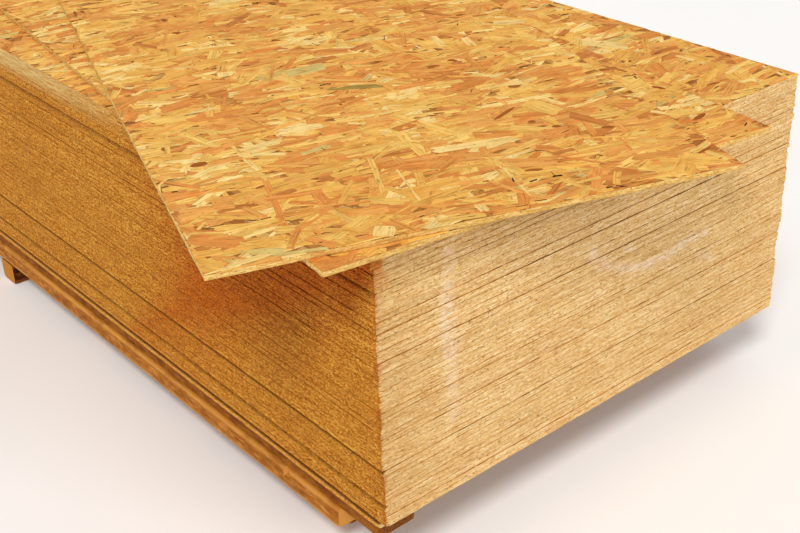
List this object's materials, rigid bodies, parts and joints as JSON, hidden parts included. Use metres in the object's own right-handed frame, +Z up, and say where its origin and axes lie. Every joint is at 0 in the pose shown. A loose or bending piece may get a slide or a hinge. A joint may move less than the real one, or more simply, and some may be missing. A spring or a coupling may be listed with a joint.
{
  "type": "stack of oriented strand board sheets",
  "caption": "Tall pile of oriented strand board sheets on a base sheet, rails and cross bearers, with two more sheets lying loose and askew on top.",
  "frame": {"origin": "on the floor, in the middle of the pile, on the underside of the middle bearer", "axes": "+X along the sheets towards the end that the loose sheets hang over, +Y across them away from the long side that they hang over, +Z up"},
  "size_m": [2.7489, 1.8067, 0.8078],
  "materials": {
    "osb_sheet": "raw sawn edges of pressed wood strands",
    "loose_sheet": "raw pressed wood strands",
    "base_sheet": "raw board",
    "upper_rail": "rough sawn, darkened",
    "lower_rail": "rough sawn",
    "bearer": "rough sawn"
  },
  "bodies": {
    "root": {"sheet_01": "osb_sheet", "sheet_02": "osb_sheet", "sheet_03": "osb_sheet", "sheet_04": "osb_sheet", "sheet_05": "osb_sheet", "sheet_06": "osb_sheet", "sheet_07": "osb_sheet", "sheet_08": "osb_sheet", "sheet_09": "osb_sheet", "sheet_10": "osb_sheet", "sheet_11": "osb_sheet", "sheet_12": "osb_sheet", "sheet_13": "osb_sheet", "sheet_14": "osb_sheet", "sheet_15": "osb_sheet", "sheet_16": "osb_sheet", "sheet_17": "osb_sheet", "sheet_18": "osb_sheet", "sheet_19": "osb_sheet", "sheet_20": "osb_sheet", "sheet_21": "osb_sheet", "sheet_22": "osb_sheet", "sheet_23": "osb_sheet", "sheet_24": "osb_sheet", "sheet_25": "osb_sheet", "sheet_26": "osb_sheet", "sheet_27": "osb_sheet", "sheet_28": "osb_sheet", "sheet_29": "osb_sheet", "sheet_30": "osb_sheet", "sheet_31": "osb_sheet", "sheet_32": "osb_sheet", "sheet_33": "osb_sheet", "sheet_34": "osb_sheet", "sheet_35": "osb_sheet", "sheet_36": "osb_sheet", "sheet_37": "osb_sheet", "sheet_38": "osb_sheet", "sheet_39": "osb_sheet", "sheet_40": "osb_sheet", "sheet_41": "osb_sheet", "sheet_42": "osb_sheet", "sheet_43": "osb_sheet", "sheet_44": "osb_sheet", "sheet_45": "osb_sheet", "sheet_46": "osb_sheet", "sheet_47": "osb_sheet", "sheet_48": "osb_sheet", "sheet_49": "osb_sheet", "sheet_50": "osb_sheet", "loose_sheet_lower": "loose_sheet", "loose_sheet_upper": "loose_sheet", "base_sheet": "base_sheet", "upper_rail_far": "upper_rail", "upper_rail_middle": "upper_rail", "upper_rail_near": "upper_rail", "lower_rail_far": "lower_rail", "lower_rail_middle": "lower_rail", "lower_rail_near": "lower_rail", "bearers": "bearer"}
  },
  "joints": []
}
